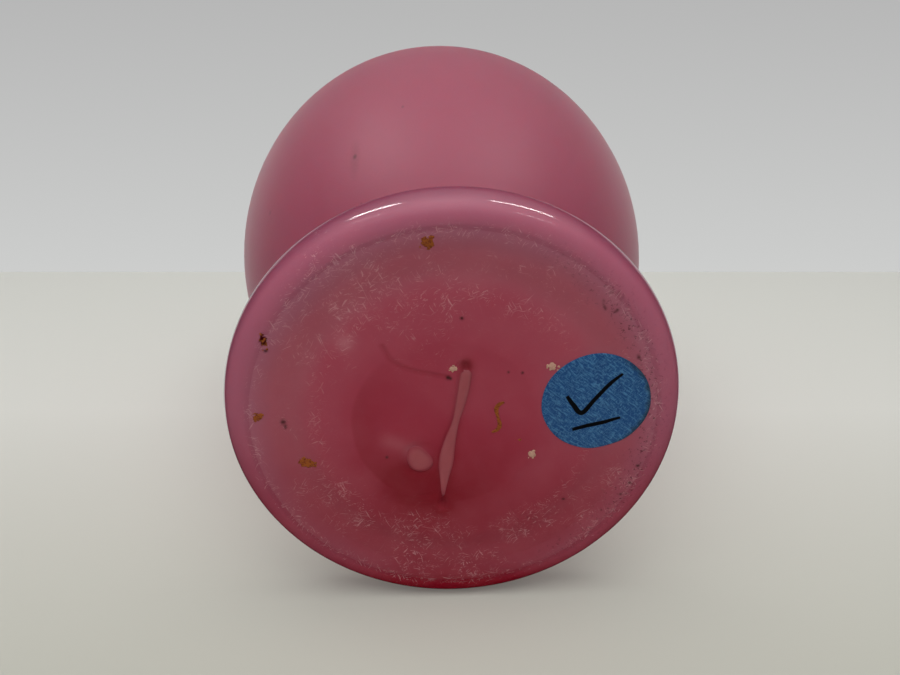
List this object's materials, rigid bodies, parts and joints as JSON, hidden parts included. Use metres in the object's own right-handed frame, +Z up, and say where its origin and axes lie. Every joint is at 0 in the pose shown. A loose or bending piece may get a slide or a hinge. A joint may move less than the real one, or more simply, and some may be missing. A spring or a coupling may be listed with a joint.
{
  "type": "glass bud vase",
  "caption": "Cased satin glass bud vase: oval bowl, slender flared neck, and an applied disc foot with a pinched streak, gilt marks and a paper dot beneath.",
  "frame": {"origin": "centre of the flat ring that the foot stands on", "axes": "+Z up the vase's axis from the foot to the lip; +X from the centre towards the paper dot under the foot"},
  "size_m": [0.103, 0.103, 0.2057],
  "materials": {
    "ruby_foot": "fire-polished rim, scuffed satin underside, milky ruby-pink",
    "satin_pink": "acid-etched satin, ruby-pink casing over opal",
    "opal": "glossy opal",
    "opal_pinch": "pale dusty pink opal, smooth",
    "gilt": "worn fired gilt, dull bronze",
    "enamel": "cream enamel specks, rough",
    "blue_paper": "blue crepe paper label",
    "marker_ink": "black marker ink"
  },
  "bodies": {
    "root": {"foot": "ruby_foot", "body_casing": "satin_pink", "opal_lining": "opal", "pinch_streak": "opal_pinch", "pinch_bead": "opal_pinch", "gilt_flourish": "gilt", "gilt_spatter": "gilt", "enamel_spatter": "enamel", "price_dot": "blue_paper", "dot_tick": "marker_ink"}
  },
  "joints": []
}
